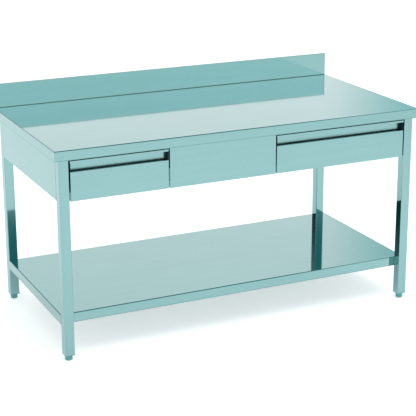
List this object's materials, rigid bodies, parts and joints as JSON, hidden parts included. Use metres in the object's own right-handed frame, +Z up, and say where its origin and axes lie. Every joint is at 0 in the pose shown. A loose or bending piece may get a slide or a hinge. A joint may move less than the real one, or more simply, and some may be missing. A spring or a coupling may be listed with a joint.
{
  "type": "stainless work table",
  "caption": "Stainless steel kitchen work table with a folded backsplash, drawers with recessed grips, an undershelf and levelling feet on square legs.",
  "frame": {"origin": "on the floor at the centre of the table's outline", "axes": "+X along the table to its right end, +Y from the drawers to the backsplash, +Z up"},
  "size_m": [1.6, 0.8, 0.95],
  "materials": {
    "satin_stainless": "satin stainless sheet, fine lengthwise grain, soft reflections",
    "plain_stainless": "mill-finish stainless sheet, duller, faint rolling marks",
    "zinc_steel": "bright zinc-plated steel, slightly cloudy",
    "fasteners": "bright turned steel",
    "board": "raw particle board",
    "grey_plastic": "moulded plastic, fine matte texture",
    "rubber": "black rubber"
  },
  "bodies": {
    "frame": {"apron_bolts": "fasteners", "backsplash_end_left": "satin_stainless", "backsplash_end_right": "satin_stainless", "core_board": "board", "drawer_buffers": "rubber", "front_panel": "satin_stainless", "left_drawer_hanger_inner": "plain_stainless", "left_drawer_hanger_outer": "plain_stainless", "left_drawer_runner_fixed_inner": "zinc_steel", "left_drawer_runner_fixed_outer": "zinc_steel", "leg_front_left": "satin_stainless", "leg_front_right": "satin_stainless", "leg_insert_front_left": "grey_plastic", "leg_insert_front_right": "grey_plastic", "leg_insert_rear_left": "grey_plastic", "leg_insert_rear_right": "grey_plastic", "leg_rear_left": "satin_stainless", "leg_rear_right": "satin_stainless", "rear_apron": "satin_stainless", "right_drawer_hanger_inner": "plain_stainless", "right_drawer_hanger_outer": "plain_stainless", "right_drawer_runner_fixed_inner": "zinc_steel", "right_drawer_runner_fixed_outer": "zinc_steel", "runner_screws": "fasteners", "shelf_bolts": "fasteners", "shelf_brackets": "plain_stainless", "shelf_channel_left": "plain_stainless", "shelf_channel_right": "plain_stainless", "side_apron_left": "satin_stainless", "side_apron_right": "satin_stainless", "top_channel_front": "plain_stainless", "top_channel_rear": "plain_stainless", "undershelf": "satin_stainless", "worktop": "satin_stainless", "worktop_screws": "fasteners"},
    "drawer_left": {"left_drawer_box": "plain_stainless", "left_drawer_front": "satin_stainless", "left_drawer_grip": "satin_stainless", "left_drawer_rivets": "fasteners", "left_drawer_runner_moving_inner": "zinc_steel", "left_drawer_runner_moving_outer": "zinc_steel"},
    "drawer_right": {"right_drawer_box": "plain_stainless", "right_drawer_front": "satin_stainless", "right_drawer_grip": "satin_stainless", "right_drawer_rivets": "fasteners", "right_drawer_runner_moving_inner": "zinc_steel", "right_drawer_runner_moving_outer": "zinc_steel"},
    "runner_middles_left": {"left_drawer_runner_middle_inner": "zinc_steel", "left_drawer_runner_middle_outer": "zinc_steel"},
    "runner_middles_right": {"right_drawer_runner_middle_inner": "zinc_steel", "right_drawer_runner_middle_outer": "zinc_steel"},
    "glide_front_left": {"foot_glide_front_left": "grey_plastic"},
    "stud_front_left": {"foot_stud_front_left": "fasteners"},
    "glide_front_right": {"foot_glide_front_right": "grey_plastic"},
    "stud_front_right": {"foot_stud_front_right": "fasteners"},
    "glide_rear_left": {"foot_glide_rear_left": "grey_plastic"},
    "stud_rear_left": {"foot_stud_rear_left": "fasteners"},
    "glide_rear_right": {"foot_glide_rear_right": "grey_plastic"},
    "stud_rear_right": {"foot_stud_rear_right": "fasteners"}
  },
  "joints": [
    {"name": "left_drawer_slide", "type": "slide", "parent": "frame", "child": "drawer_left", "axis": [0, -1, 0], "range_m": [0, 0.4]},
    {"name": "right_drawer_slide", "type": "slide", "parent": "frame", "child": "drawer_right", "axis": [0, -1, 0], "range_m": [0, 0.4]},
    {"name": "left_runner_slide", "type": "slide", "parent": "frame", "child": "runner_middles_left", "axis": [0, -1, 0], "range_m": [0, 0.2]},
    {"name": "right_runner_slide", "type": "slide", "parent": "frame", "child": "runner_middles_right", "axis": [0, -1, 0], "range_m": [0, 0.2]},
    {"name": "foot_front_left_lift", "type": "slide", "parent": "frame", "child": "glide_front_left", "axis": [0, 0, -1], "range_m": [0, 0.024]},
    {"name": "foot_front_left_screw", "type": "hinge", "parent": "glide_front_left", "child": "stud_front_left", "pos_m": [-0.762, -0.368, 0.02], "axis": [0, 0, -1], "range_deg": [0, 5760]},
    {"name": "foot_front_right_lift", "type": "slide", "parent": "frame", "child": "glide_front_right", "axis": [0, 0, -1], "range_m": [0, 0.024]},
    {"name": "foot_front_right_screw", "type": "hinge", "parent": "glide_front_right", "child": "stud_front_right", "pos_m": [0.762, -0.368, 0.02], "axis": [0, 0, -1], "range_deg": [0, 5760]},
    {"name": "foot_rear_left_lift", "type": "slide", "parent": "frame", "child": "glide_rear_left", "axis": [0, 0, -1], "range_m": [0, 0.024]},
    {"name": "foot_rear_left_screw", "type": "hinge", "parent": "glide_rear_left", "child": "stud_rear_left", "pos_m": [-0.762, 0.357, 0.02], "axis": [0, 0, -1], "range_deg": [0, 5760]},
    {"name": "foot_rear_right_lift", "type": "slide", "parent": "frame", "child": "glide_rear_right", "axis": [0, 0, -1], "range_m": [0, 0.024]},
    {"name": "foot_rear_right_screw", "type": "hinge", "parent": "glide_rear_right", "child": "stud_rear_right", "pos_m": [0.762, 0.357, 0.02], "axis": [0, 0, -1], "range_deg": [0, 5760]}
  ],
  "couplings": [
    {"joint": "left_runner_slide", "follows": "left_drawer_slide", "ratio": 0.5},
    {"joint": "right_runner_slide", "follows": "right_drawer_slide", "ratio": 0.5},
    {"joint": "foot_front_left_screw", "follows": "foot_front_left_lift", "rad_per_m": 4188.8},
    {"joint": "foot_front_right_screw", "follows": "foot_front_right_lift", "rad_per_m": 4188.8},
    {"joint": "foot_rear_left_screw", "follows": "foot_rear_left_lift", "rad_per_m": 4188.8},
    {"joint": "foot_rear_right_screw", "follows": "foot_rear_right_lift", "rad_per_m": 4188.8}
  ]
}
